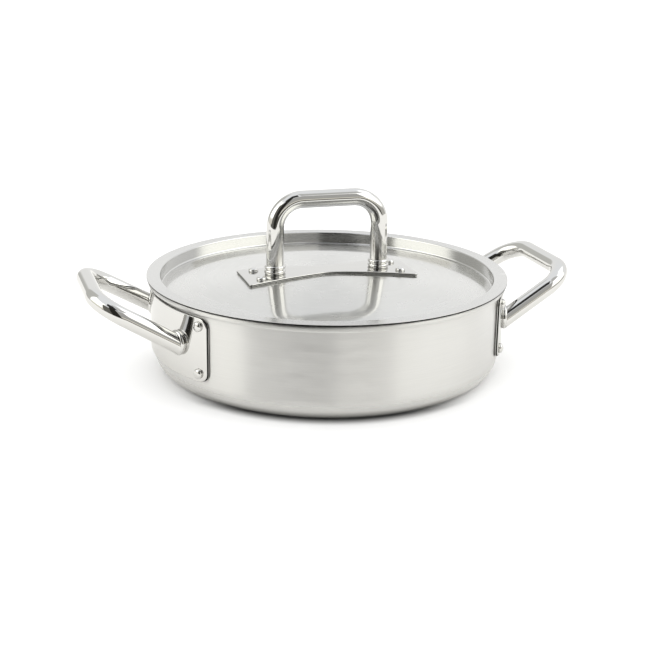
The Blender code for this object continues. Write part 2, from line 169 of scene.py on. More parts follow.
# %% Helpers for single nodes
def math_of(tree, operation, *values):
    node = tree.nodes.new("ShaderNodeMath")
    node.operation = operation
    for socket, value in zip(node.inputs, values):
        feed(tree, socket, value)
    return node.outputs[0]


def blend_range(tree, value, from_low, from_high, to_low=0.0, to_high=1.0, smooth=False):
    """A Map Range node, clamped at both ends."""
    node = tree.nodes.new("ShaderNodeMapRange")
    node.interpolation_type = "SMOOTHSTEP" if smooth else "LINEAR"
    for label, setting in zip(
        ("Value", "From Min", "From Max", "To Min", "To Max"),
        (value, from_low, from_high, to_low, to_high),
    ):
        feed(tree, node.inputs[label], setting)
    return node.outputs["Result"]


def mix_colour(tree, factor, first, second):
    node = tree.nodes.new("ShaderNodeMix")
    node.data_type = "RGBA"
    for label, value in (("Factor_Float", factor), ("A_Color", first), ("B_Color", second)):
        feed(tree, next(s for s in node.inputs if s.identifier == label), value)
    return next(s for s in node.outputs if s.identifier == "Result_Color")


def object_place(tree):
    """Where a point lies in the piece's own frame, which is the pan's."""
    return tree.nodes.new("ShaderNodeTexCoord").outputs["Object"]


def parts_of(tree, vector):
    """The X, Y and Z of a vector."""
    parts = tree.nodes.new("ShaderNodeSeparateXYZ")
    feed(tree, parts.inputs[0], vector)
    return parts.outputs


def noise_of(tree, place, scale, detail):
    """A noise texture. scale is a number or a socket."""
    noise = tree.nodes.new("ShaderNodeTexNoise")
    feed(tree, noise.inputs["Vector"], place)
    feed(tree, noise.inputs["Scale"], scale)
    noise.inputs["Detail"].default_value = detail
    return noise


print("node helpers: math_of, blend_range, mix_colour, object_place, parts_of, noise_of")

# %% [markdown]
# ## The studio
#
# Polished steel has hardly any colour of its own: what is seen in it is the room. Product
# photographers therefore light the room and not the pan. Here the world stands in for that
# room. It is a white sweep behind, a large soft box on each side, and the unlit gap between
# the two boxes where the camera stands. That gap is what draws the dark lines in the steel.
#
# One group turns a direction into two angles as seen from the camera's side, and a second
# group makes the soft-edged mask of one card or box in the room.

# %% Group: angles of a direction
def build_studio_angles():
    group, given, result = new_group(
        "studio angles", {"Direction": (0.0, 0.0, 0.0), "Turn": 0.0}, ["Azimuth", "Elevation"]
    )
    x, y, z = parts_of(group, given["Direction"])
    around = math_of(group, "ARCTAN2", x, math_of(group, "MULTIPLY", y, -1.0))
    turned = math_of(group, "ADD", around, given["Turn"])
    azimuth = math_of(group, "WRAP", turned, math.pi, -math.pi)
    feed_all(group, result, Azimuth=azimuth, Elevation=math_of(group, "ARCSINE", z))
    return group


STUDIO_ANGLES = build_studio_angles()
print("group:", STUDIO_ANGLES.name)

# %% Group: one card of the room
def build_studio_card():
    group, given, result = new_group(
        "studio card",
        {
            "Azimuth": 0.0, "Elevation": 0.0, "Middle": 0.0, "Half Width": 20.0,
            "Bottom": 0.0, "Top": 40.0, "Softness": 5.0,
        },
        ["Mask"],
    )
    azimuth = math_of(group, "DEGREES", given["Azimuth"])
    elevation = math_of(group, "DEGREES", given["Elevation"])
    offset = math_of(group, "SUBTRACT", azimuth, given["Middle"])
    offset = math_of(group, "ABSOLUTE", math_of(group, "WRAP", offset, 180.0, -180.0))
    inside = math_of(group, "SUBTRACT", given["Half Width"], offset)
    above = math_of(group, "SUBTRACT", elevation, given["Bottom"])
    below = math_of(group, "SUBTRACT", given["Top"], elevation)
    depth = math_of(group, "MINIMUM", inside, math_of(group, "MINIMUM", above, below))
    softness = given["Softness"]
    start = math_of(group, "MULTIPLY", softness, -0.5)
    end = math_of(group, "MULTIPLY", softness, 0.5)
    feed(group, result["Mask"], blend_range(group, depth, start, end, smooth=True))
    return group


STUDIO_CARD = build_studio_card()
print("group:", STUDIO_CARD.name)

# %% [markdown]
# The room is painted from a base that cools a little upward, and then one card after another
# on top of it. Angles are degrees: azimuth 0 is the camera's side, and it grows to the right.
# Low cards are warmer than high ones, as they are when they catch light from a table.
#
# Only glossy rays see the cards. The camera sees plain white, so the background is white. The
# matt floor gets an even light that is a little too strong, so that it burns out to the same
# white, except close to the pan, where much of that light is hidden and a soft shadow shows.

# %% Colours and cards of the room
HORIZON_COLOUR = (1.08, 1.08, 1.07)
CEILING_COLOUR = (1.04, 1.06, 1.09)
COOLING_STARTS, COOLING_ENDS = 0.2, 1.0  # radians above the horizon
SOFT_BOX = (2.35, 2.35, 2.22)
ROOM_CARDS = {
    # what it is: colour, middle, half width, bottom, top, softness
    "warm low band round the front": ((0.92, 0.89, 0.80), 0.0, 100.0, -4.0, 12.0, 6.0),
    "foot of the right wall": ((0.58, 0.57, 0.53), 82.0, 30.0, -12.0, 12.0, 5.0),
    "grey band behind the camera": ((0.32, 0.315, 0.285), 0.0, 46.0, 9.0, 24.0, 4.0),
    "dark ground before the table": ((0.12, 0.117, 0.10), 0.0, 60.0, -90.0, -1.0, 3.0),
    "grey wall behind on the left": ((0.66, 0.66, 0.63), -129.0, 22.0, -4.0, 60.0, 7.0),
    "top light on the right": ((1.75, 1.77, 1.80), 104.0, 36.0, 38.0, 66.0, 5.0),
    "left soft box": (SOFT_BOX, -74.0, 30.0, 13.0, 52.0, 11.0),
    "right soft box": (SOFT_BOX, 78.0, 31.5, 13.0, 52.0, 11.0),
    "flag over the right soft box": ((0.62, 0.62, 0.61), 60.0, 25.0, 54.0, 84.0, 4.0),
    "unlit gap on the left": ((0.17, 0.166, 0.15), -38.0, 14.5, -12.0, 44.0, 4.0),
    "grey gap on the right": ((0.50, 0.497, 0.48), 25.0, 20.5, 12.0, 50.0, 4.0),
    "black flag overhead": ((0.05, 0.05, 0.05), -4.0, 30.0, 53.0, 78.0, 3.0),
    "camera and its stand": ((0.03, 0.029, 0.025), -9.0, 15.5, -12.0, 58.0, 2.5),
}
BACKDROP_WHITE = (1.0, 1.0, 1.0)
FLOOR_LIGHT = (1.42, 1.42, 1.42)
print("room cards:", ", ".join(ROOM_CARDS))

# %% Paint the room
world = bpy.data.worlds.new("studio")
bpy.context.scene.world = world
world.use_nodes = True
world.cycles.sampling_method = "NONE"
room = world.node_tree
room.nodes.clear()
angles = use_group(
    room, STUDIO_ANGLES,
    Direction=room.nodes.new("ShaderNodeTexCoord").outputs["Generated"], Turn=PAN_TURN,
)
upward = blend_range(room, angles["Elevation"], COOLING_STARTS, COOLING_ENDS, smooth=True)
painted = mix_colour(room, upward, HORIZON_COLOUR, CEILING_COLOUR)
for colour, middle, half_width, bottom, top, softness in ROOM_CARDS.values():
    mask = use_group(
        room, STUDIO_CARD, Azimuth=angles["Azimuth"], Elevation=angles["Elevation"],
        Middle=middle, Half_Width=half_width, Bottom=bottom, Top=top, Softness=softness,
    )["Mask"]
    painted = mix_colour(room, mask, painted, colour)
rays = room.nodes.new("ShaderNodeLightPath").outputs
unpainted = mix_colour(room, rays["Is Diffuse Ray"], BACKDROP_WHITE, FLOOR_LIGHT)
seen = mix_colour(room, rays["Is Glossy Ray"], unpainted, painted)
background = room.nodes.new("ShaderNodeBackground")
feed(room, background.inputs["Color"], seen)
room_output = room.nodes.new("ShaderNodeOutputWorld")
feed(room, room_output.inputs["Surface"], background.outputs[0])
print("room painted with", len(room.nodes), "nodes")

# %% [markdown]
# ## The floor
#
# The floor is a wide matt sheet, a little overexposed as in the photograph. It stops half a
# metre in front of the pan, because the low dark line in the steel is the table's near end.
# The paper is slightly warm, which is what warms the undersides of the rods. Light Path lets
# the camera itself see it a little cleaner, so that the shadow stays neutral and soft. Right
# under the rounded corner of the pan, an Ambient Occlusion node deepens the shadow. It does so
# in front and behind, and fades out to the left and right, where the two soft boxes reach in.

# %% Finish of the floor
PAPER_DARKER = (0.90, 0.893, 0.865)
PAPER_PALER = (0.92, 0.913, 0.885)
PAPER_IN_VIEW = (0.99, 0.99, 0.988)
PAPER_MOTTLE = 40.0
CONTACT_COLOUR = (0.06, 0.06, 0.06)
CONTACT_REACH = 0.020
CONTACT_OPEN = 0.5
CONTACT_FULL_AT = math.sin(math.radians(20.0))
CONTACT_GONE_AT = math.sin(math.radians(64.0))


def build_floor_material():
    material, tree, surface = new_tree("pale floor")
    mottle = tree.nodes.new("ShaderNodeTexNoise")
    mottle.inputs["Scale"].default_value = PAPER_MOTTLE
    paper = mix_colour(tree, mottle.outputs["Fac"], PAPER_DARKER, PAPER_PALER)
    rays = tree.nodes.new("ShaderNodeLightPath").outputs
    paper = mix_colour(tree, rays["Is Camera Ray"], paper, PAPER_IN_VIEW)
    # Painted shadow: the AO node darkens the paper's own colour towards CONTACT_COLOUR under the
    # pan's corner.
    contact = tree.nodes.new("ShaderNodeAmbientOcclusion")
    contact.inputs["Distance"].default_value = CONTACT_REACH
    open_sky = blend_range(tree, contact.outputs["AO"], 0.0, CONTACT_OPEN)
    angles = use_group(tree, STUDIO_ANGLES, Direction=object_place(tree), Turn=PAN_TURN)
    sideways = math_of(tree, "ABSOLUTE", math_of(tree, "SINE", angles["Azimuth"]))
    by_a_box = blend_range(tree, sideways, CONTACT_FULL_AT, CONTACT_GONE_AT, smooth=True)
    lit = math_of(tree, "MAXIMUM", open_sky, by_a_box)
    matt = tree.nodes.new("ShaderNodeBsdfDiffuse")
    feed(tree, matt.inputs["Color"], mix_colour(tree, lit, CONTACT_COLOUR, paper))
    feed(tree, surface, matt.outputs[0])
    return material


PALE_FLOOR = build_floor_material()
print("floor finish:", PALE_FLOOR.name)

# %% Lay the floor
TABLE_FRONT = 0.46
TABLE_BACK = 14.0
TABLE_HALF_WIDTH = 12.0
FLOOR_SQUARES = 8
FLOOR_DROP = 0.0001

floor_mesh = bpy.data.meshes.new("floor")
half_depth = (TABLE_BACK + TABLE_FRONT) / 2
sheet = bmesh.new()
bmesh.ops.create_grid(sheet, x_segments=FLOOR_SQUARES, y_segments=FLOOR_SQUARES, size=1.0)
for vertex in sheet.verts:
    vertex.co = turned_to_studio(
        (vertex.co.x * TABLE_HALF_WIDTH, (vertex.co.y + 1) * half_depth - TABLE_FRONT, 0.0)
    )
sheet.to_mesh(floor_mesh)
sheet.free()
floor_mesh.materials.append(PALE_FLOOR)
floor = new_object("floor", floor_mesh)
floor.location.z = cad_bounds[0].z - FLOOR_DROP
print("floor at z", round(floor.location.z, 5))

# %% [markdown]
# ## Finishes: what the steel needs
#
# Three things make steel look like steel. The first is the grain of its brushing, which here
# always runs round the axis, because pan and lid were finished while they spun. The second is
# the way that such a grain smears reflections across itself, which the Anisotropic setting of
# the Principled shader does. The third is small change from place to place: a haze left by
# polishing, hairlines, and edges that are rubbed brighter.

# %% Group: grain that runs round the axis
LINE_DETAIL, BROAD_DETAIL = 3.0, 1.0
NEAREST_TO_AXIS = 0.001


def distance_from_axis(tree, x, y):
    square = math_of(tree, "ADD", math_of(tree, "MULTIPLY", x, x), math_of(tree, "MULTIPLY", y, y))
    return math_of(tree, "SQRT", square)


def build_turned_grain():
    """Lines round Z. 4D noise on a ring of directions has no seam where the angle wraps."""
    group, given, result = new_group(
        "turned grain",
        {"Line Width": 0.0003, "Streaks": 6.0, "Contrast": 1.0, "Broad Width": 0.004},
        ["Lines", "Broad"],
    )
    x, y, z = parts_of(group, object_place(group))
    radius = distance_from_axis(group, x, y)
    safe = math_of(group, "MAXIMUM", radius, NEAREST_TO_AXIS)
    cosine = math_of(group, "MULTIPLY", math_of(group, "DIVIDE", x, safe), given["Streaks"])
    sine = math_of(group, "MULTIPLY", math_of(group, "DIVIDE", y, safe), given["Streaks"])
    for label, width, detail in (
        ("Lines", "Line Width", LINE_DETAIL), ("Broad", "Broad Width", BROAD_DETAIL)
    ):
        across = math_of(group, "DIVIDE", radius, given[width])
        upward = math_of(group, "DIVIDE", z, given[width])
        ring = group.nodes.new("ShaderNodeCombineXYZ")
        for socket, value in zip(ring.inputs, (cosine, sine, across)):
            feed(group, socket, value)
        noise = noise_of(group, ring.outputs[0], 1.0, detail)
        noise.noise_dimensions = "4D"
        feed(group, noise.inputs["W"], upward)
        centred = math_of(group, "SUBTRACT", noise.outputs["Fac"], 0.5)
        stretched = math_of(group, "MULTIPLY_ADD", centred, given["Contrast"], 0.5)
        feed(group, result[label], blend_range(group, stretched, 0.0, 1.0))
    return group


TURNED_GRAIN = build_turned_grain()
print("group:", TURNED_GRAIN.name)

# %% [markdown]
# Polished steel is never quite even. The buffing wheel leaves a faint haze in patches and a
# few hairlines that run its way. Both change the roughness by a hundredth or two, which is
# just enough to break up a reflection that would look computed.

# %% Group: haze and hairlines of polished steel
HAZE_RANGE, HAZE_DETAIL = (0.35, 0.7), 3.0
HAIRLINE_STRETCH, HAIRLINE_DETAIL = (0.06, 1.0, 1.0), 2.0
HAIRLINE_EDGE = 0.03


def build_polish_haze():
    group, given, result = new_group(
        "polish haze",
        {"Patch Size": 0.012, "Hairline Width": 0.0006, "Hairline Amount": 0.3},
        ["Haze", "Hairlines"],
    )
    place = object_place(group)
    patch_scale = math_of(group, "DIVIDE", 1.0, given["Patch Size"])
    patches = noise_of(group, place, patch_scale, HAZE_DETAIL)
    feed(group, result["Haze"], blend_range(group, patches.outputs["Fac"], *HAZE_RANGE))
    stretch = group.nodes.new("ShaderNodeVectorMath")
    stretch.operation = "MULTIPLY"
    feed(group, stretch.inputs[0], place)
    stretch.inputs[1].default_value = HAIRLINE_STRETCH
    hair_scale = math_of(group, "DIVIDE", 1.0, given["Hairline Width"])
    hairs = noise_of(group, stretch.outputs[0], hair_scale, HAIRLINE_DETAIL)
    ridge = math_of(group, "ABSOLUTE", math_of(group, "SUBTRACT", hairs.outputs["Fac"], 0.5))
    thin = blend_range(group, ridge, 0.0, HAIRLINE_EDGE, 1.0, 0.0)
    feed(group, result["Hairlines"], math_of(group, "MULTIPLY", thin, given["Hairline Amount"]))
    return group


POLISH_HAZE = build_polish_haze()
print("group:", POLISH_HAZE.name)

# %% [markdown]
# Edges of pressed sheet are rubbed smooth in the factory and again in use. Pointiness tells
# the nodes where the mesh is convex, so the mask follows each rounded edge by itself. It
# needs edges with several faces across them, which is one more reason to model them rounded.

# %% Group: rubbed edges
def build_rubbed_edges():
    group, given, result = new_group("rubbed edges", {"Start": 0.52, "End": 0.60}, ["Edges"])
    pointiness = group.nodes.new("ShaderNodeNewGeometry").outputs["Pointiness"]
    mask = blend_range(group, pointiness, given["Start"], given["End"], smooth=True)
    feed(group, result["Edges"], mask)
    return group


RUBBED_EDGES = build_rubbed_edges()
print("group:", RUBBED_EDGES.name)

# %% [markdown]
# ## Two kinds of steel
#
# The pan has two finishes. The wall, the lid and the liner are satin: brushed round the axis,
# so that a reflection is drawn out across the lines. The handles, their plates, the collars
# and the rivets are mirror polished. One function makes each kind, and each piece's material
# gives it its own values.
#
# Satin is seldom the same all over. The pan's foot is smoother than its wall, and the lid's
# ring is duller than its well. So the roughness changes with height or with radius. The lid's
# panel was buffed after it was brushed, and it shows two reflections at once: a sharp one over
# a smeared one. A coat with a high index stands for the buffed part of its surface.

# %% Helpers for metals
def new_metal(name):
    """A material and its tree, with the sockets of a metal's shader that is already linked."""
    material, tree, surface = new_tree(name)
    shader = tree.nodes.new("ShaderNodeBsdfPrincipled")
    shader.inputs["Metallic"].default_value = 1.0
    feed(tree, surface, shader.outputs[0])
    return material, tree, shader.inputs


def relief(tree, height, depth):
    """A normal for fine relief that is too low to model."""
    bump = tree.nodes.new("ShaderNodeBump")
    feed_all(tree, bump.inputs, Distance=depth, Height=height)
    return bump.outputs[0]


def shaded(colour, factor):
    """A colour made darker or brighter, with no channel past 1."""
    return [min(1.0, channel * factor) for channel in colour]


print("metal helpers: new_metal, relief, shaded")

# %% Directions and measures round the axis
def radial_tangent(tree):
    """The direction round Z at each point, which is the way of the brushing."""
    tangent = tree.nodes.new("ShaderNodeTangent")
    tangent.direction_type = "RADIAL"
    tangent.axis = "Z"
    return tangent.outputs[0]


def height_above_foot(tree):
    return parts_of(tree, object_place(tree))["Z"]


def radius_from_axis(tree):
    x, y, _ = parts_of(tree, object_place(tree))
    return distance_from_axis(tree, x, y)


print("axis helpers: radial_tangent, height_above_foot, radius_from_axis")

# %% Satin steel
QUARTER_TURN = 0.25
SATIN_STREAKS, SATIN_CONTRAST = 5.0, 1.6
STREAK_SHADE = 0.93
RUBBED_SHINE = 1.10
RUBBED_SMOOTHNESS = 0.4
BUFFED_ROUGHNESS = 0.07
BUFFED_INDEX = 3.6
BROAD_RANGE = (0.2, 0.8)


def satin_steel(
    name, colour, roughness, measure, far_roughness, far_from, far_to,
    smear=0.80, line_width=0.00030, line_depth=0.0000012, broad_amount=0.06, buffed=0.0,
):
    """Brushed steel whose roughness changes to another over a range of height or radius."""
    material, tree, steel = new_metal(name)
    grain = use_group(
        tree, TURNED_GRAIN,
        Line_Width=line_width, Streaks=SATIN_STREAKS, Contrast=SATIN_CONTRAST,
    )
    edges = use_group(tree, RUBBED_EDGES)["Edges"]
    streaked = mix_colour(tree, grain["Lines"], shaded(colour, STREAK_SHADE), colour)
    base = blend_range(
        tree, measure(tree), far_from, far_to, roughness, far_roughness, smooth=True
    )
    broad = blend_range(
        tree, grain["Broad"], *BROAD_RANGE, 1.0 - broad_amount, 1.0 + broad_amount
    )
    wavy = math_of(tree, "MULTIPLY", base, broad)
    feed_all(
        tree, steel, Tangent=radial_tangent(tree),
        Anisotropic=smear, Anisotropic_Rotation=QUARTER_TURN,
        Coat_Weight=buffed, Coat_Roughness=BUFFED_ROUGHNESS, Coat_IOR=BUFFED_INDEX,
        Base_Color=mix_colour(tree, edges, streaked, shaded(colour, RUBBED_SHINE)),
        Roughness=math_of(tree, "MULTIPLY_ADD", edges, -RUBBED_SMOOTHNESS * roughness, wavy),
        Normal=relief(tree, grain["Lines"], line_depth),
    )
    return material


print("satin steel: one function for four finishes")

# %% The four satins
WALL_SATIN = satin_steel(
    "wall satin", (0.705, 0.702, 0.692), roughness=0.33, smear=0.96,
    measure=height_above_foot, far_roughness=0.12, far_from=0.0150, far_to=0.0060,
)
LID_SATIN = satin_steel(
    "lid satin", (0.650, 0.648, 0.638), roughness=0.15, line_depth=0.0000008,
    measure=radius_from_axis, far_roughness=0.24, far_from=0.1155, far_to=0.1165,
)
PANEL_SATIN = satin_steel(
    "panel satin", (0.528, 0.525, 0.503), roughness=0.30, smear=0.90, buffed=1.0,
    line_width=0.00080, line_depth=0.0000002, broad_amount=0.10,
    measure=radius_from_axis, far_roughness=0.26, far_from=0.0800, far_to=0.1100,
)
LINER_SATIN = satin_steel(
    "liner satin", (0.680, 0.677, 0.666), roughness=0.24, line_width=0.00035,
    measure=radius_from_axis, far_roughness=0.42, far_from=0.1190, far_to=0.1205,
)
for steel in (WALL_SATIN, LID_SATIN, PANEL_SATIN, LINER_SATIN):
    print("satin steel:", steel.name)

# %% Mirror-polished steel
GLANCING_TINT = (0.90, 0.90, 0.90)
MIRROR_EDGE_SHINE = 1.05
HAIRLINE_ROUGHNESS = 0.05
HAIRLINE_DEPTH = 0.0000004


def mirror_steel(name, colour, roughness, haze_amount):
    """Polished steel. Its reflection at a glancing angle is a little less than full."""
    material, tree, steel = new_metal(name)
    polish = use_group(tree, POLISH_HAZE)
    edges = use_group(tree, RUBBED_EDGES)["Edges"]
    hazy = math_of(tree, "MULTIPLY_ADD", polish["Haze"], haze_amount, roughness)
    feed_all(
        tree, steel, Specular_Tint=GLANCING_TINT,
        Base_Color=mix_colour(tree, edges, colour, shaded(colour, MIRROR_EDGE_SHINE)),
        Roughness=math_of(tree, "MULTIPLY_ADD", polish["Hairlines"], HAIRLINE_ROUGHNESS, hazy),
        Normal=relief(tree, polish["Hairlines"], HAIRLINE_DEPTH),
    )
    return material


POLISHED_STEEL = mirror_steel(
    "polished steel", (0.680, 0.675, 0.660), roughness=0.040, haze_amount=0.020
)
RIVET_STEEL = mirror_steel(
    "rivet steel", (0.690, 0.685, 0.670), roughness=0.090, haze_amount=0.040
)
print("mirror steels:", POLISHED_STEEL.name, RIVET_STEEL.name)

# %% [markdown]
# Plates and lid are stamped from sheet. The press leaves their edges dull, with fine tear marks,
# and nobody polishes them. Their colour here is near black, much darker than steel: painted shade
# that stands for the shadow in the narrow gap beside each edge. These are the black outlines that
# set bright plates off from bright steel, so they get a finish of their own.

# %% Dull edges with painted shade
TEARS_PER_METRE, TEAR_DETAIL = 1500.0, 2.0
TEAR_DEPTH = 0.00002
TEAR_RANGE = (0.3, 0.7)
TEAR_ROUGHNESS = (0.34, 0.50)


def dull_edge_with_painted_shade(name, dark, pale):
    """The dull edge of stamped sheet, mottled between two colours by fine tear marks. The two
    colours are near black: painted shade for the gap beside the edge.
    """
    material, tree, edge = new_metal(name)
    tears = noise_of(tree, object_place(tree), TEARS_PER_METRE, TEAR_DETAIL).outputs["Fac"]
    feed_all(
        tree, edge, Base_Color=mix_colour(tree, tears, dark, pale),
        Roughness=blend_range(tree, tears, *TEAR_RANGE, *TEAR_ROUGHNESS),
        Normal=relief(tree, tears, TEAR_DEPTH),
    )
    return material


# Painted shadow: near-black colours for the lid's cut edge and the underside of its ring, where
# the gap to the rim lies in shade.
LID_EDGE_AND_PAINTED_SHADOW = dull_edge_with_painted_shade(
    "lid edge and painted shadow", dark=(0.004, 0.004, 0.004), pale=(0.020, 0.0195, 0.019)
)
# Partly real, partly painted shade: sheared plate edges are dull, and their near-black colour
# stands for the shadow of the gap beside them.
PLATE_EDGE_DULL_WITH_PAINTED_SHADE = dull_edge_with_painted_shade(
    "plate edge with painted shade", dark=(0.010, 0.010, 0.010), pale=(0.050, 0.049, 0.047)
)
print("stamped edges:", LID_EDGE_AND_PAINTED_SHADOW.name, PLATE_EDGE_DULL_WITH_PAINTED_SHADE.name)

# %% [markdown]
# The aluminium core is sealed between two sheets of steel and can't be seen. Its CAD node is
# already the right shape, so it stays, and only gets a rolled aluminium finish of its own.

# %% The hidden core
ROLLED_DARKER = (0.76, 0.77, 0.78)
ROLLED_PALER = (0.83, 0.83, 0.84)
ROLLED_ROUGHNESS = (0.38, 0.50)


def rolled_aluminium(name):
    material, tree, aluminium = new_metal(name)
    grain = use_group(tree, TURNED_GRAIN, Line_Width=0.0008, Streaks=2.0, Contrast=1.0)
    feed_all(
        tree, aluminium,
        Base_Color=mix_colour(tree, grain["Lines"], ROLLED_DARKER, ROLLED_PALER),
        Roughness=blend_range(tree, grain["Broad"], 0.0, 1.0, *ROLLED_ROUGHNESS),
    )
    return material


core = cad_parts["aluminium_core"]
core.data.materials.clear()
core.data.materials.append(rolled_aluminium("rolled aluminium"))
print("core keeps its CAD mesh:", len(core.data.polygons), "faces")

# %% [markdown]
# ## Making turned pieces
#
# The pan, the lid and the rivets are all turned shapes. A turned shape is one outline, drawn
# as points of radius and height, and spun round an axis. The Screw modifier does the spinning,
# so each piece is described by a short list of points. Rounded edges are arcs in that list.
# Weighted normals then keep the flat parts flat in a reflection, and the arcs round.

# %% Helpers for every piece
FLATS_FIRST = 100


def arc(centre_radius, centre_height, radius, start, end, steps=6):
    """Points of an arc of the outline, from start to end in degrees."""
    turns = [math.radians(start + (end - start) * step / steps) for step in range(steps + 1)]
    return [
        (centre_radius + radius * math.cos(turn), centre_height + radius * math.sin(turn))
        for turn in turns
    ]


def add_piece(name, mesh, material, body, replaced, slot, *more_materials):
    """Show a mesh as a smooth piece that rides on a body and stands for one CAD node."""
    for polygon in mesh.polygons:
        polygon.use_smooth = True
    for finish in (material, *more_materials):
        mesh.materials.append(finish)
    piece = new_object(name, mesh)
    weighted = piece.modifiers.new("Flat faces stay flat", "WEIGHTED_NORMAL")
    weighted.weight = FLATS_FIRST
    weighted.keep_sharp = True
    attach(piece, body)
    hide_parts(replaced)
    return piece


def finished_mesh(holder):
    """The mesh that an object's modifiers or bevel make. The object itself goes."""
    bpy.context.view_layer.update()
    mesh = bpy.data.meshes.new_from_object(
        holder.evaluated_get(bpy.context.evaluated_depsgraph_get())
    )
    bpy.data.objects.remove(holder)
    return mesh


print("piece helpers: arc, add_piece, finished_mesh")

# %% Helper for turned pieces
TURN_STEPS = 192
SEAM_REACH = 0.000001


def spun_mesh(name, outline, steps=TURN_STEPS, place=Matrix()):
    """Spin an outline of (radius, height) points round Z, and move the result to its place."""
    wire = bpy.data.meshes.new(name)
    edges = [(index, index + 1) for index in range(len(outline) - 1)]
    wire.from_pydata([(radius, 0.0, height) for radius, height in outline], edges, [])
    holder = new_object(name, wire)
    screw = holder.modifiers.new("Turn", "SCREW")
    screw.steps = screw.render_steps = steps
    screw.use_merge_vertices = True
    screw.merge_threshold = SEAM_REACH
    spun = finished_mesh(holder)
    fixed = bmesh.new()
    fixed.from_mesh(spun)
    bmesh.ops.recalc_face_normals(fixed, faces=fixed.faces)
    fixed.to_mesh(spun)
    fixed.free()
    spun.transform(place)
    return spun


print("turned pieces have", TURN_STEPS, "steps round")

# %% [markdown]
# ## The outer skin of the pan
#
# The wall rises straight from a generous rounded corner, and its foot is flat so that it sits
# on a hob. It is a sandwich of steel, aluminium and steel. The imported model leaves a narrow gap
# wherever two pieces are bonded or welded, and so does this file. The skin is the outer steel,
# 0.6 mm thick, and its top edge hides under the rim.

# %% Model the outer skin
GAP = 0.0003
WALL_RADIUS = 0.1196
RIM_HEIGHT = 0.0656
BASE_CORNER = 0.0160
SKIN, CORE, LINER = 0.0006, 0.0011, 0.0006
WALL_THICKNESS = SKIN + GAP + CORE + GAP + LINER
FLARE_RADIUS = 0.0024
FLARE_BASE = RIM_HEIGHT - FLARE_RADIUS - WALL_THICKNESS
FLARE_CENTRE = WALL_RADIUS + FLARE_RADIUS
CORNER_STEPS, RIM_STEPS = 16, 8


def wall_outline(depth):
    """The surface that lies depth inside the skin, from the axis up to where the rim turns."""
    centre = WALL_RADIUS - BASE_CORNER
    corner = arc(centre, BASE_CORNER, BASE_CORNER - depth, -90, 0, CORNER_STEPS)
    return [(0.0, depth)] + corner + [(WALL_RADIUS - depth, FLARE_BASE)]


def flare_outline(depth):
    """The same surface where the rim turns outward, from the wall to its crest."""
    return arc(FLARE_CENTRE, FLARE_BASE, FLARE_RADIUS + depth, 180, 90, RIM_STEPS)[1:]


skin_inside = wall_outline(SKIN) + flare_outline(SKIN)
skin_outside = wall_outline(0.0) + flare_outline(0.0)
skin = add_piece(
    "wall_skin", spun_mesh("wall_skin", skin_inside + skin_outside[::-1]),
    WALL_SATIN, "pan", "outer_skin", "brushed_steel",
)
print("outer skin:", len(skin.data.polygons), "faces")

# %% [markdown]
# ## The liner and its pouring rim
#
# The inside is a second sheet. At the top it thickens and turns outward into a lip that lets
# sauce pour without a drip. The lip hides the edges of the other two layers, and from the
# camera it is the bright line just below the lid.

# %% Model the liner and rim
CORE_OUTER_DEPTH = SKIN + GAP
LINER_OUTER_DEPTH = CORE_OUTER_DEPTH + CORE + GAP
LIP_OVERHANG = 0.0011
LIP_TOP_FALL = 0.0020
LIP_ROUND = 0.0003
TINY_ARC_STEPS = 4


def quarter_turn(steps, first=0):
    """Angles in radians from first steps on up to a quarter turn."""
    return [math.pi / 2 * step / steps for step in range(first, steps + 1)]


lip_bottom = FLARE_BASE + FLARE_RADIUS
lip_top = [
    (
        FLARE_CENTRE + LIP_OVERHANG * math.sin(turn),
        RIM_HEIGHT - LIP_TOP_FALL * (1 - math.cos(turn)),
    )
    for turn in quarter_turn(RIM_STEPS, first=1)
]
lip_centre = FLARE_CENTRE + LIP_OVERHANG - LIP_ROUND
liner_outline = (
    wall_outline(WALL_THICKNESS)
    + flare_outline(WALL_THICKNESS)
    + lip_top
    + arc(lip_centre, lip_bottom + LIP_ROUND, LIP_ROUND, 0, -90, TINY_ARC_STEPS)
    + [(FLARE_CENTRE + GAP, lip_bottom), (FLARE_CENTRE + GAP, lip_bottom + CORE_OUTER_DEPTH)]
    + flare_outline(CORE_OUTER_DEPTH)[::-1]
    + [(WALL_RADIUS - CORE_OUTER_DEPTH, FLARE_BASE)]
    + wall_outline(LINER_OUTER_DEPTH)[::-1]
)
liner = add_piece(
    "liner_and_rim", spun_mesh("liner_and_rim", liner_outline),
    LINER_SATIN, "pan", "inner_liner", "liner_steel",
)
print("liner and rim:", len(liner.data.polygons), "faces")

# %% [markdown]
# ## The lid
#
# The lid is one pressed sheet: a flat ring that rests on the rim, a short wall that drops
# inside it, a tight fold, and a panel that rises in a shallow dome so that steam runs off.
# The dome is a cap of a large sphere, so its height at any radius is a short formula, which
# the plate and rivets on it use as well.
#
# The outer edge is cut, not rolled, and is dull. Its faces and the underside of the ring over the
# rim are painted near black, a painted shadow of the gap, which is the thin black line between lid
# and rim. The faces there, and those of the panel, get their own slots.

# %% The lid's sizes and its dome
LID_SEAT = RIM_HEIGHT + GAP
LID_RADIUS = 0.1240
LID_THICKNESS = 0.0009
RECESS_CLEARANCE = 0.0013
RECESS_RADIUS = WALL_RADIUS - WALL_THICKNESS - RECESS_CLEARANCE - LID_THICKNESS
RECESS_DEPTH = 0.0086
RECESS_EDGE = 0.0010
FOLD_RADIUS = 0.0012
PANEL_RADIUS = RECESS_RADIUS - FOLD_RADIUS
PANEL_FLOOR = LID_SEAT + LID_THICKNESS - RECESS_DEPTH
DOME_RISE = 0.0090
DOME_RADIUS = (PANEL_RADIUS**2 + DOME_RISE**2) / (2 * DOME_RISE)
DOME_RINGS = 40


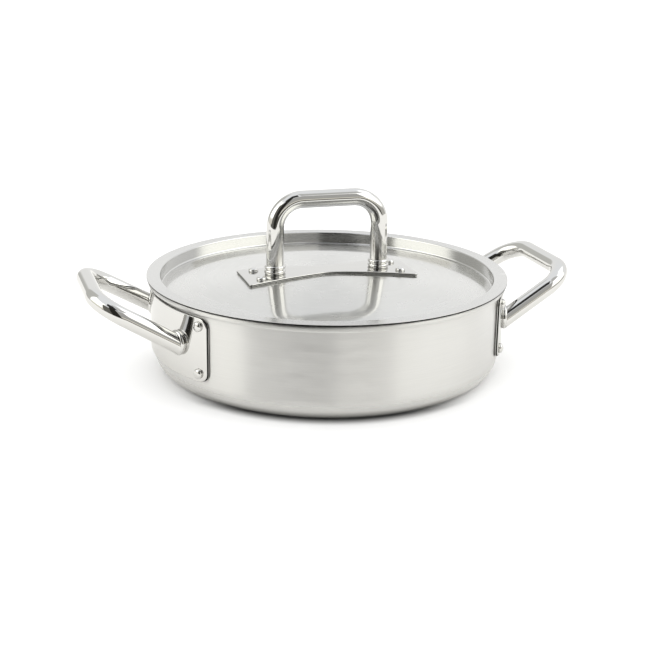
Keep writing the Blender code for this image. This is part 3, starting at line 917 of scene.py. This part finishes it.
def dome_height(x, y=0.0):
    """Height of the panel's upper face above the pan's foot."""
    fall = DOME_RADIUS - math.sqrt(DOME_RADIUS**2 - x**2 - y**2)
    return PANEL_FLOOR + DOME_RISE - fall


def dome_outline(offset):
    radii = [PANEL_RADIUS * ring / DOME_RINGS for ring in range(DOME_RINGS + 1)]
    return [(radius, dome_height(radius) + offset) for radius in radii]


print("the dome is part of a sphere of radius", round(DOME_RADIUS, 3))

# %% Model the lid sheet
LID_EDGE = 0.00012
EDGE_SLOT, PANEL_SLOT = 1, 2
LEVEL = 0.5  # a face whose normal rises or falls by more than this counts as level

fold_height = PANEL_FLOOR + FOLD_RADIUS
ring_top = LID_SEAT + LID_THICKNESS
edge_centre = LID_RADIUS - LID_EDGE
lid_outline = (
    dome_outline(0.0)
    + arc(PANEL_RADIUS, fold_height, FOLD_RADIUS, -90, 0)[1:]
    + arc(RECESS_RADIUS + RECESS_EDGE, ring_top - RECESS_EDGE, RECESS_EDGE, 180, 90)
    + arc(edge_centre, ring_top - LID_EDGE, LID_EDGE, 90, 0, TINY_ARC_STEPS)
    + arc(edge_centre, LID_SEAT + LID_EDGE, LID_EDGE, 0, -90, TINY_ARC_STEPS)
    + [(RECESS_RADIUS + LID_THICKNESS, LID_SEAT)]
    + arc(PANEL_RADIUS, fold_height, FOLD_RADIUS + LID_THICKNESS, 0, -90)[:-1]
    + dome_outline(-LID_THICKNESS)[::-1]
)
lid_mesh = spun_mesh("lid_sheet", lid_outline)
# Painted shadow: the dull cut edge and the ring's underside over the rim take the near-black edge
# finish.
for polygon in lid_mesh.polygons:
    radius = polygon.center.xy.length
    cut_edge = radius > edge_centre and polygon.center.z < ring_top - LID_EDGE
    under_ring = radius > RECESS_RADIUS + LID_THICKNESS and polygon.normal.z < -LEVEL
    if cut_edge or under_ring:
        polygon.material_index = EDGE_SLOT
    elif radius < PANEL_RADIUS and polygon.normal.z > LEVEL:
        polygon.material_index = PANEL_SLOT
lid = add_piece(
    "lid_sheet", lid_mesh, LID_SATIN, "lid", "lid_panel", "brushed_steel",
    LID_EDGE_AND_PAINTED_SHADOW, PANEL_SATIN,
)
print("lid sheet:", len(lid.data.polygons), "faces, dome top at", round(dome_height(0.0), 4))

# %% [markdown]
# ## Curved plates
#
# The side brackets and the strap under the lid's handle are flat plates with rounded corners, bent
# to the surface behind them. Cutting such a shape from a block leaves ragged faces that a mirror
# finish shows at once. Instead a grid is made row by row, each row as wide as the outline is at
# that place. All its faces have four sides, and it bends cleanly. Round its rim run a few narrow
# bands that round the edge off. The middle band is dull, and painted near black as the shade of
# the gap beside the plate.

# %% Helper for plates with a shaped outline
EDGE_STEPS = 3


def plate_mesh(name, rows, columns, front, back, edge_round):
    """A plate from rows of (position, half width). front and back give a point's place."""
    reach = rows[-1][0]
    depth = edge_round / (front(0.0, 0.0) - back(0.0, 0.0)).length
    layers = [
        (edge_round * (1 - math.sin(turn)), depth * (1 - math.cos(turn)))
        for turn in quarter_turn(EDGE_STEPS)
    ]
    layers += [(inset, 1 - into) for inset, into in reversed(layers)]
    plate = bmesh.new()

    def corner_at(row, column, inset, into):
        along = rows[row][0] * (1 - inset / reach)
        across = (rows[row][1] - inset) * (2 * column / columns - 1)
        return plate.verts.new(front(along, across).lerp(back(along, across), into))

    def full_grid(layer):
        return [
            [corner_at(row, column, *layer) for column in range(columns + 1)]
            for row in range(len(rows))
        ]

    last = len(rows) - 1
    grids = [full_grid(layers[0]), full_grid(layers[-1])]
    for grid in grids:
        for row in range(last):
            for column in range(columns):
                plate.faces.new((
                    grid[row][column], grid[row][column + 1],
                    grid[row + 1][column + 1], grid[row + 1][column],
                ))
    walk = [(0, column) for column in range(columns)]
    walk += [(row, columns) for row in range(last)]
    walk += [(last, column) for column in range(columns, 0, -1)]
    walk += [(row, 0) for row in range(last, 0, -1)]
    loops = [[grids[0][row][column] for row, column in walk]]
    loops += [[corner_at(row, column, *layer) for row, column in walk] for layer in layers[1:-1]]
    loops += [[grids[1][row][column] for row, column in walk]]
    for band, (upper, lower) in enumerate(zip(loops, loops[1:])):
        for here in range(len(walk)):
            face = plate.faces.new((upper[here - 1], upper[here], lower[here], lower[here - 1]))
            # The middle band takes the dull edge finish, painted near black as shade.
            face.material_index = EDGE_SLOT if band == EDGE_STEPS else 0
    bmesh.ops.recalc_face_normals(plate, faces=plate.faces)
    mesh = bpy.data.meshes.new(name)
    plate.to_mesh(mesh)
    plate.free()
    return mesh


print("plate edges have", EDGE_STEPS, "bands on each side of the dull one")

# %% Helper for a plate's rows
PLATE_CORNER_STEPS = 8


def plate_rows(half_length, half_width, corner, spaces):
    """Rows from one rounded end to the other. half_width is a function of the place."""
    end = []
    for turn in quarter_turn(PLATE_CORNER_STEPS):
        along = half_length - corner * (1 - math.sin(turn))
        end.append((along, half_width(along) - corner * (1 - math.cos(turn))))
    inner = half_length - corner
    middle = [inner * (2 * row / spaces - 1) for row in range(1, spaces)]
    return (
        [(-along, width) for along, width in reversed(end)]
        + [(along, half_width(along)) for along in middle]
        + end
    )


print("plates are built as rows of quads")

# %% [markdown]
# ## The brackets
#
# Each side handle is carried by a wide plate, polished to a mirror and bent to the wall. Its
# edge is rounded just enough to catch a line of light. Seen from the front the outline is a
# rectangle with rounded corners, so a point's height and its distance to the side are taken
# from the outline, and its depth follows from the circle of the wall.

# %% Model the brackets
BRACKET_THICKNESS = 0.0018
BRACKET_INNER = WALL_RADIUS + GAP
BRACKET_OUTER = BRACKET_INNER + BRACKET_THICKNESS
BRACKET_HALF_WIDTH = 0.0690
BRACKET_BOTTOM = 0.0174
BRACKET_TOP = 0.0598
BRACKET_CORNER = 0.0060
BRACKET_EDGE_ROUND = 0.0004
BRACKET_SPACES, BRACKET_COLUMNS = 10, 64
SIDES = {"right": 1.0, "left": -1.0}


def on_wall(radius, sign):
    """A function that places a point of the outline on a circle round the pan."""
    middle = (BRACKET_TOP + BRACKET_BOTTOM) / 2

    def place(along, across):
        return Vector((sign * math.sqrt(radius**2 - across**2), across, middle + along))

    return place


bracket_rows = plate_rows(
    (BRACKET_TOP - BRACKET_BOTTOM) / 2, lambda along: BRACKET_HALF_WIDTH,
    BRACKET_CORNER, BRACKET_SPACES,
)
for side, sign in SIDES.items():
    mesh = plate_mesh(
        f"{side}_plate", bracket_rows, BRACKET_COLUMNS,
        on_wall(BRACKET_OUTER, sign), on_wall(BRACKET_INNER, sign), BRACKET_EDGE_ROUND,
    )
    plate = add_piece(
        f"{side}_plate", mesh, POLISHED_STEEL, "pan", f"{side}_bracket", "polished_steel",
        PLATE_EDGE_DULL_WITH_PAINTED_SHADE,
    )
    print(plate.name, len(mesh.polygons), "faces")

# %% [markdown]
# ## The strap under the lid's handle
#
# This plate is drawn in at its waist, and it follows the dome. Its rows run across, so each
# row's half width comes from the outline: straight sides that fall towards the middle, and
# one long arc that joins them there.

# %% Model the strap
STRAP_THICKNESS = 0.0015
STRAP_HALF_LENGTH = 0.0598
STRAP_HALF_WIDTH = 0.0198
STRAP_WAIST = 0.0084
STRAP_CORNER = 0.0020
STRAP_EDGE_ROUND = 0.0005
STRAP_SPACES, STRAP_COLUMNS = 60, 16
WAIST_RADIUS = 0.0500


def strap_half_width(x):
    """Half width of the strap at a distance from its middle, before its ends are rounded."""
    slope = (STRAP_HALF_WIDTH - STRAP_WAIST) / STRAP_HALF_LENGTH
    lean = math.atan(slope)
    join = WAIST_RADIUS * math.sin(lean)
    if abs(x) >= join:
        return STRAP_WAIST + slope * abs(x)
    top = STRAP_WAIST + slope * join + WAIST_RADIUS * math.cos(lean)
    return top - math.sqrt(WAIST_RADIUS**2 - x**2)


def over_dome(lift):
    """A function that places a point of the outline at a height above the dome."""
    return lambda x, y: Vector((x, y, dome_height(x, y) + lift))


strap_rows = plate_rows(STRAP_HALF_LENGTH, strap_half_width, STRAP_CORNER, STRAP_SPACES)
strap_mesh = plate_mesh(
    "lid_strap", strap_rows, STRAP_COLUMNS,
    over_dome(GAP + STRAP_THICKNESS), over_dome(GAP / 2), STRAP_EDGE_ROUND,
)
strap = add_piece(
    "lid_strap", strap_mesh, POLISHED_STEEL, "lid", "lid_handle_plate", "polished_steel",
    PLATE_EDGE_DULL_WITH_PAINTED_SHADE,
)
print("strap:", len(strap.data.polygons), "faces")

# %% [markdown]
# ## Bent rods
#
# All three handles are bent from the same 12 mm round rod. A curve with a round bevel is the
# natural way to make one. The path is straight runs with an arc at each bend, and points are
# set closely along the straight runs too, so that reflections stay straight there. A polishing
# belt never leaves a rod quite round. It makes long flats a few thousandths of a millimetre
# deep, which split each reflection into fine parallel lines.

# %% Helper for a bent path
POINT_SPACING = 0.0020
BEND_STEPS = 28


def bend_path(corners, bend_radius):
    """Points along straight runs, with an arc of one radius at each corner between them."""
    points = [corners[0]]
    for before, corner, after in zip(corners, corners[1:], corners[2:]):
        back = (before - corner).normalized()
        ahead = (after - corner).normalized()
        half_angle = back.angle(ahead) / 2
        centre = corner + (back + ahead).normalized() * bend_radius / math.sin(half_angle)
        reach = bend_radius / math.tan(half_angle)
        spoke = corner + back * reach - centre
        axis = spoke.cross(corner + ahead * reach - centre)
        for step in range(BEND_STEPS + 1):
            turn = (math.pi - 2 * half_angle) * step / BEND_STEPS
            points.append(centre + Matrix.Rotation(turn, 3, axis) @ spoke)
    points.append(corners[-1])
    filled = [points[0]]
    for start, end in zip(points, points[1:]):
        count = max(1, round((end - start).length / POINT_SPACING))
        filled += [start.lerp(end, step / count) for step in range(1, count + 1)]
    return filled


print("bends have", BEND_STEPS, "steps")

# %% Helper for round rods
ROD_RADIUS = 0.0060
ROD_FINENESS = 11  # as the bevel counts it, which gives 26 faces round
BELT_WAVE = 0.000005
BELT_FLATS = ((7, 1.0, 0.6), (11, 0.6, 2.1))  # how many round the rod, share, start in radians


def rod_mesh(name, points):
    """A round rod along a path, with the faint flats of a polishing belt."""
    curve = bpy.data.curves.new(name, "CURVE")
    curve.dimensions = "3D"
    spline = curve.splines.new("POLY")
    spline.points.add(len(points) - 1)
    for spline_point, point in zip(spline.points, points):
        spline_point.co = (*point, 1.0)
    curve.bevel_depth = ROD_RADIUS
    curve.bevel_resolution = ROD_FINENESS
    curve.use_fill_caps = True
    mesh = finished_mesh(new_object(name, curve))
    ring = len(mesh.vertices) // len(points)
    for first in range(0, ring * len(points), ring):
        around = mesh.vertices[first:first + ring]
        middle = sum((vertex.co for vertex in around), Vector()) / ring
        for index, vertex in enumerate(around):
            turn = 2 * math.pi * index / ring
            wave = sum(
                share * math.sin(flats * turn + start) for flats, share, start in BELT_FLATS
            )
            vertex.co = middle + (vertex.co - middle) * (1 + BELT_WAVE / ROD_RADIUS * wave)
    return mesh


print("rod radius", ROD_RADIUS)

# %% [markdown]
# ## The side handles
#
# Each loop leaves the bracket, rises outward at 30 degrees, and comes back. Its legs lean, but
# its ends lie flat against the wall's circle, as if sawn at a slant. The rod is first made with
# square ends. Then the points of each first straight run are slid along the rod, most at the
# end and less and less further out, until the end lies on its plane. The rod stays round.

# %% Helpers for slanted rod ends
SLANT_RUN = 0.0200
NEAR_ROD = 1.2 * ROD_RADIUS


def round_the_pan(radius, angle, height):
    """A point at a distance from the pan's axis, and the way that the wall faces there."""
    outward = Vector((math.cos(angle), math.sin(angle), 0.0))
    return outward * radius + Vector((0.0, 0.0, height)), outward


def slant_end(mesh, root, ahead, facing):
    """Slide one end of a rod along itself until it lies on the plane through root."""
    for vertex in mesh.vertices:
        offset = vertex.co - root
        along = offset.dot(ahead)
        across = offset - ahead * along
        if along < SLANT_RUN and across.length < NEAR_ROD:
            slide = across.dot(facing) / ahead.dot(facing)
            vertex.co -= ahead * slide * (1 - max(0.0, along) / SLANT_RUN)


print("the slant fades out over", SLANT_RUN)

# %% Model the side handles
SIDE_ROOT_ANGLE = math.radians(22.0)
SIDE_ROOT_HEIGHT = 0.0391
SIDE_COLLAR_HEIGHT = 0.0023
SIDE_ROOT_RADIUS = BRACKET_OUTER + GAP + SIDE_COLLAR_HEIGHT + GAP
SIDE_REACH = 0.0475
SIDE_PITCH = math.radians(30.0)
SIDE_OUTER_HALF_WIDTH = 0.0415
SIDE_BEND_RADIUS = 0.0215


def side_handle_mesh(name, turn):
    root, _ = round_the_pan(SIDE_ROOT_RADIUS, SIDE_ROOT_ANGLE, SIDE_ROOT_HEIGHT)
    outer = root + SIDE_REACH * Vector((1.0, 0.0, math.tan(SIDE_PITCH)))
    outer.y = SIDE_OUTER_HALF_WIDTH
    half = [root, outer]
    corners = half + [Vector((point.x, -point.y, point.z)) for point in reversed(half)]
    mesh = rod_mesh(name, bend_path(corners, SIDE_BEND_RADIUS))
    for start, bend, angle in (
        (corners[0], corners[1], SIDE_ROOT_ANGLE), (corners[3], corners[2], -SIDE_ROOT_ANGLE)
    ):
        _, facing = round_the_pan(1.0, angle, 0.0)
        slant_end(mesh, start, (bend - start).normalized(), facing)
    mesh.transform(Matrix.Rotation(turn, 4, "Z"))
    return mesh


for side, sign in SIDES.items():
    mesh = side_handle_mesh(f"{side}_loop", math.pi * (1 - sign) / 2)
    loop = add_piece(
        f"{side}_loop", mesh, POLISHED_STEEL, "pan", f"{side}_handle", "polished_steel"
    )
    print(loop.name, len(mesh.polygons), "faces")

# %% [markdown]
# ## Collars
#
# A collar hides the weld where a rod meets its plate. It is a short turned ring, a little
# wider than the rod, with one round bead at the side handles and two at the lid's. The foot
# has to follow a curved plate, so after the collar is turned, the points of its foot are moved
# along the collar's axis onto that plate.

# %% Helper for collars
COLLAR_SINK = 0.0002
COLLAR_FOOT_SHARE = 0.3
COLLAR_STEPS = 48
BEAD_END = 75  # degrees from its middle to where a bead meets the next
BEAD_STEPS = 10


def collar_outline(radius, height, beads):
    """One or two round beads, from the mouth down to the foot."""
    half_bead = height / (2 * beads)
    points = [(0.0, height)]
    for bead in range(beads):
        middle = height - half_bead * (2 * bead + 1)
        start = BEAD_END if bead else 90
        points += arc(radius - half_bead, middle, half_bead, start, -BEAD_END, BEAD_STEPS)
    return points + [(points[-1][0], 0.0), (0.0, 0.0)]


def collar_mesh(name, outline, place, foot_depth):
    """A turned collar. foot_depth moves each point of its foot onto its plate."""
    mesh = spun_mesh(name, outline, COLLAR_STEPS)
    low = outline[0][1] * COLLAR_FOOT_SHARE
    for vertex in mesh.vertices:
        if vertex.co.z < low:
            vertex.co.z += foot_depth(vertex.co.x, vertex.co.y) - COLLAR_SINK
    mesh.transform(place)
    return mesh


print("collars sink", COLLAR_SINK, "into their plates")

# %% Model the side collars
SIDE_COLLAR_RADIUS = 0.0083


def bracket_fall(x, y):
    """How far the bracket falls away from a collar's foot, at a point of that foot."""
    return math.sqrt(BRACKET_OUTER**2 - y**2) - BRACKET_OUTER


side_ring = collar_outline(
    SIDE_COLLAR_RADIUS, SIDE_ROOT_RADIUS + COLLAR_SINK - BRACKET_OUTER, beads=1
)
for side, sign in SIDES.items():
    for end, turn in (("front", -SIDE_ROOT_ANGLE), ("rear", SIDE_ROOT_ANGLE)):
        angle = turn if sign > 0 else math.pi - turn
        foot, _ = round_the_pan(BRACKET_OUTER, angle, SIDE_ROOT_HEIGHT)
        facing = Matrix.Rotation(angle, 4, "Z") @ Matrix.Rotation(math.pi / 2, 4, "Y")
        name = f"{side}_{end}_ring"
        add_piece(
            name, collar_mesh(name, side_ring, Matrix.Translation(foot) @ facing, bracket_fall),
            POLISHED_STEEL, "pan", f"{side}_collar_{end}", "polished_steel",
        )
print("collars on the pan: 4")

# %% Model the lid's collars
LID_COLLAR_RADIUS = 0.0073
LID_LEG_HALF_SPACING = 0.0372
LID_COLLAR_HEIGHT = 0.0060
strap_top = dome_height(LID_LEG_HALF_SPACING) + GAP + STRAP_THICKNESS
for side, sign in SIDES.items():
    leg = sign * LID_LEG_HALF_SPACING
    mesh = collar_mesh(
        f"lid_{side}_ring", collar_outline(LID_COLLAR_RADIUS, LID_COLLAR_HEIGHT, beads=2),
        Matrix.Translation((leg, 0.0, strap_top)),
        lambda x, y, leg=leg: dome_height(leg + x, y) + GAP + STRAP_THICKNESS - strap_top,
    )
    add_piece(
        f"lid_{side}_ring", mesh, POLISHED_STEEL, "lid", f"lid_collar_{side}", "polished_steel"
    )
print("collars on the lid: 2")

# %% [markdown]
# ## The lid's handle
#
# The same rod stands up as a loop, each leg a millimetre inside its collar. The middle of the
# bar is 52.5 mm above the face that the lid rests on, which leaves room for a cloth and fingers.

# %% Model the lid's handle
LID_BAR_HEIGHT = 0.0525
LID_BEND_RADIUS = 0.0189
LEG_SINK = 0.0010
leg_foot = strap_top + LID_COLLAR_HEIGHT - LEG_SINK
bar_height = LID_SEAT + LID_BAR_HEIGHT
lid_corners = [
    Vector((sign * LID_LEG_HALF_SPACING, 0.0, height))
    for sign, height in ((-1, leg_foot), (-1, bar_height), (1, bar_height), (1, leg_foot))
]
lid_loop = add_piece(
    "lid_loop", rod_mesh("lid_loop", bend_path(lid_corners, LID_BEND_RADIUS)),
    POLISHED_STEEL, "lid", "lid_handle", "polished_steel",
)
print("lid loop:", len(lid_loop.data.polygons), "faces, bar at", round(bar_height, 4))

# %% [markdown]
# ## Rivets
#
# Twelve rivets hold the plates. Each is one turned shape: a low domed head with a short
# upright side, a shank through the sheets, and a flattened tail inside. The heads sit right
# on the plates, because a gap below a head would show as a black ring.

# %% Helper for rivets
SHANK_RADIUS = 0.0020
HEAD_RADIUS = 0.0033
HEAD_SIDE = 0.0009
HEAD_RISE = 0.0016
HEAD_STEPS = 8
TAIL_RADIUS = 0.0030
TAIL_ROUND = 0.0006
TAIL_HEIGHT = 0.0011
RIVET_STEPS = 32


def rivet_outline(grip):
    """Outline of a rivet whose head sits at height 0 and whose tail sits at -grip."""
    head = [
        (HEAD_RADIUS * math.sin(turn), HEAD_SIDE + HEAD_RISE * math.cos(turn))
        for turn in quarter_turn(HEAD_STEPS)
    ]
    tail_centre = TAIL_RADIUS - TAIL_ROUND
    return (
        head
        + [(HEAD_RADIUS, 0.0), (SHANK_RADIUS, 0.0), (SHANK_RADIUS, -grip), (TAIL_RADIUS, -grip)]
        + arc(tail_centre, -grip - TAIL_ROUND, TAIL_ROUND, 0, -90, TINY_ARC_STEPS)
        + [(0.0, -grip - TAIL_HEIGHT)]
    )


def add_rivet(name, node, seat, direction, grip, body):
    """A rivet whose head sits on a plate at seat and points along direction."""
    place = Matrix.Translation(seat) @ direction.to_track_quat("Z", "Y").to_matrix().to_4x4()
    mesh = spun_mesh(name, rivet_outline(grip), RIVET_STEPS, place)
    add_piece(name, mesh, RIVET_STEEL, body, node, "rivet_steel")


print("rivet head", 2 * HEAD_RADIUS, "across")

# %% Set the pan's rivets
BRACKET_RIVET_FROM_EDGE = 0.0055
BRACKET_RIVET_FROM_END = 0.0056
RIVET_HEIGHTS = {
    "lower": BRACKET_BOTTOM + BRACKET_RIVET_FROM_EDGE,
    "upper": BRACKET_TOP - BRACKET_RIVET_FROM_EDGE,
}
spread = math.asin((BRACKET_HALF_WIDTH - BRACKET_RIVET_FROM_END) / BRACKET_OUTER)
wall_grip = BRACKET_OUTER - (WALL_RADIUS - WALL_THICKNESS)
for side, sign in SIDES.items():
    for end, turn in (("front", -spread), ("rear", spread)):
        for level, height in RIVET_HEIGHTS.items():
            direction = Vector((sign * math.cos(turn), math.sin(turn), 0.0))
            seat = direction * BRACKET_OUTER + Vector((0.0, 0.0, height))
            add_rivet(
                f"{side}_stud_{end}_{level}", f"{side}_rivet_{end}_{level}",
                seat, direction, wall_grip, "pan",
            )
print("rivets on the pan: 8")

# %% Set the lid's rivets
STRAP_RIVET_FROM_END = 0.0103
STRAP_RIVET_FROM_EDGE = 0.0086
rivet_x = STRAP_HALF_LENGTH - STRAP_RIVET_FROM_END
rivet_y = STRAP_HALF_WIDTH - STRAP_RIVET_FROM_EDGE
for side, sign in SIDES.items():
    for end, across in (("front", -rivet_y), ("rear", rivet_y)):
        along = sign * rivet_x
        rise = math.sqrt(DOME_RADIUS**2 - along**2 - across**2)
        direction = Vector((along, across, rise)).normalized()
        surface = Vector((along, across, dome_height(along, across)))
        add_rivet(
            f"lid_stud_{side}_{end}", f"lid_rivet_{side}_{end}",
            surface + direction * (GAP + STRAP_THICKNESS), direction,
            GAP + STRAP_THICKNESS + LID_THICKNESS, "lid",
        )
print("rivets on the lid: 4")

# %% [markdown]
# ## Finish
#
# The dressed pan is meant to fill the same box as the imported model.

# %% Bring the scene up to date
bpy.context.view_layer.update()
